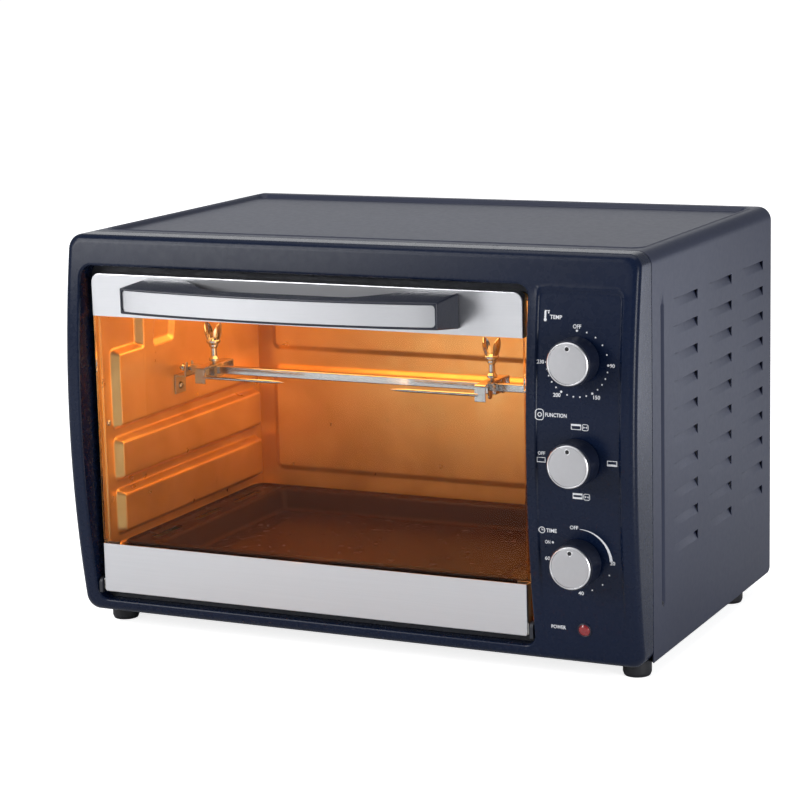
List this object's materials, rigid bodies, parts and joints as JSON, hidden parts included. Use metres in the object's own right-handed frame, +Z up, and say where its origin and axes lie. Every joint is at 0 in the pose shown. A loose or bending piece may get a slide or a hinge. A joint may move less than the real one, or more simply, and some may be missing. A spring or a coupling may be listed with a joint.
{
  "type": "rotisserie oven",
  "caption": "Countertop rotisserie oven: louvered dark casing, bulged fascia, drop-down glass door with bowed handle, control knobs, spit with forks, baking tray.",
  "frame": {"origin": "on the surface that the feet stand on, under the centre of the whole bounding box", "axes": "+X to the right seen from the front, along the width; +Y to the rear, the door faces -Y; +Z up"},
  "size_m": [0.5346, 0.395, 0.353],
  "materials": {
    "casing_paint": "satin dark navy paint",
    "dark_sheet": "dark painted sheet",
    "foot_plastic": "black moulded feet",
    "zinc_steel": "zinc-plated steel",
    "cavity_sheet": "aluminised sheet, warm under the lamp",
    "heater_sheath": "heat-darkened stainless sheath",
    "clear_glass": "clear tempered glass",
    "control_plastic": "dark moulded housings",
    "red_lens": "red lens",
    "door_steel": "brushed along its length",
    "handle_plastic": "black satin plastic",
    "spit_chrome": "bright plated steel",
    "tray_enamel": "dark brown glossy enamel"
  },
  "bodies": {
    "housing": {"front_fascia": "casing_paint", "wrap_casing": "casing_paint", "rear_cover": "dark_sheet", "base_pan": "dark_sheet", "foot_front_left": "foot_plastic", "foot_front_right": "foot_plastic", "foot_rear_left": "foot_plastic", "foot_rear_right": "foot_plastic", "side_screw_left": "zinc_steel", "side_screw_right": "zinc_steel", "front_frame": "dark_sheet", "cavity_left_wall": "cavity_sheet", "cavity_right_wall": "cavity_sheet", "cavity_rear_wall": "cavity_sheet", "cavity_roof": "cavity_sheet", "cavity_floor": "cavity_sheet", "upper_heater_front": "heater_sheath", "upper_heater_rear": "heater_sheath", "lower_heater_front": "heater_sheath", "lower_heater_rear": "heater_sheath", "oven_lamp": "zinc_steel", "lamp_cover": "clear_glass", "hinge_bracket_left": "zinc_steel", "hinge_bracket_right": "zinc_steel", "thermostat": "control_plastic", "function_switch": "control_plastic", "timer": "control_plastic", "power_lamp_lens": "red_lens", "power_lamp_holder": "control_plastic", "rotisserie_motor": "zinc_steel", "motor_bracket": "zinc_steel", "spit_bracket": "zinc_steel", "spit_bracket_screw": "zinc_steel", "cord_gland": "control_plastic"},
    "door": {"door_top_rail": "door_steel", "door_bottom_rail": "door_steel", "door_glass": "clear_glass", "handle_bar": "handle_plastic", "handle_insert": "door_steel", "handle_screw_left": "zinc_steel", "handle_screw_right": "zinc_steel", "hinge_pin_left": "zinc_steel", "hinge_pin_right": "zinc_steel"},
    "temperature_control": {"temperature_knob": "handle_plastic", "temperature_knob_cap": "door_steel", "temperature_shaft": "zinc_steel"},
    "function_control": {"function_knob": "handle_plastic", "function_knob_cap": "door_steel", "function_shaft": "zinc_steel"},
    "timer_control": {"timer_knob": "handle_plastic", "timer_knob_cap": "door_steel", "timer_shaft": "zinc_steel"},
    "spit": {"spit_rod": "spit_chrome"},
    "drive": {"drive_socket": "zinc_steel"},
    "left_fork": {"fork_left": "spit_chrome"},
    "right_fork": {"fork_right": "spit_chrome"},
    "left_thumb_screw": {"thumb_screw_left": "spit_chrome"},
    "right_thumb_screw": {"thumb_screw_right": "spit_chrome"},
    "baking_tray": {"baking_tray": "tray_enamel"},
    "crumb_tray": {"crumb_tray": "zinc_steel"}
  },
  "joints": [
    {"name": "door_hinge", "type": "hinge", "parent": "housing", "child": "door", "pos_m": [-0.03975, -0.1365, 0.0365], "axis": [1, 0, 0], "range_deg": [0, 82]},
    {"name": "temperature_turn", "type": "hinge", "parent": "housing", "child": "temperature_control", "pos_m": [0.216, -0.15539, 0.2695], "axis": [0, 1, 0], "range_deg": [0, 280]},
    {"name": "function_turn", "type": "hinge", "parent": "housing", "child": "function_control", "pos_m": [0.216, -0.1575, 0.1875], "axis": [0, 1, 0], "range_deg": [-90, 180]},
    {"name": "timer_turn", "type": "hinge", "parent": "housing", "child": "timer_control", "pos_m": [0.216, -0.15496, 0.1045], "axis": [0, 1, 0], "range_deg": [-55, 280]},
    {"name": "spit_spin", "type": "hinge", "parent": "housing", "child": "spit", "pos_m": [0, -0.0125, 0.215], "axis": [1, 0, 0], "continuous": true},
    {"name": "drive_spin", "type": "hinge", "parent": "housing", "child": "drive", "pos_m": [0, -0.0125, 0.215], "axis": [1, 0, 0], "continuous": true},
    {"name": "left_fork_slide", "type": "slide", "parent": "spit", "child": "left_fork", "axis": [1, 0, 0], "range_m": [-0.012, 0.045]},
    {"name": "right_fork_slide", "type": "slide", "parent": "spit", "child": "right_fork", "axis": [1, 0, 0], "range_m": [-0.045, 0.06]},
    {"name": "left_thumb_screw_turn", "type": "hinge", "parent": "left_fork", "child": "left_thumb_screw", "pos_m": [-0.197, -0.0125, 0.215], "axis": [0, 0, 1], "range_deg": [0, 360]},
    {"name": "right_thumb_screw_turn", "type": "hinge", "parent": "right_fork", "child": "right_thumb_screw", "pos_m": [0.08, -0.0125, 0.215], "axis": [0, 0, 1], "range_deg": [0, 360]},
    {"name": "baking_tray_slide", "type": "slide", "parent": "housing", "child": "baking_tray", "axis": [0, -1, 0], "range_m": [-0.012, 0.015]},
    {"name": "crumb_tray_slide", "type": "slide", "parent": "housing", "child": "crumb_tray", "axis": [0, -1, 0], "range_m": [-0.013, 0.01]}
  ],
  "couplings": [
    {"joint": "drive_spin", "follows": "spit_spin", "ratio": 1}
  ]
}
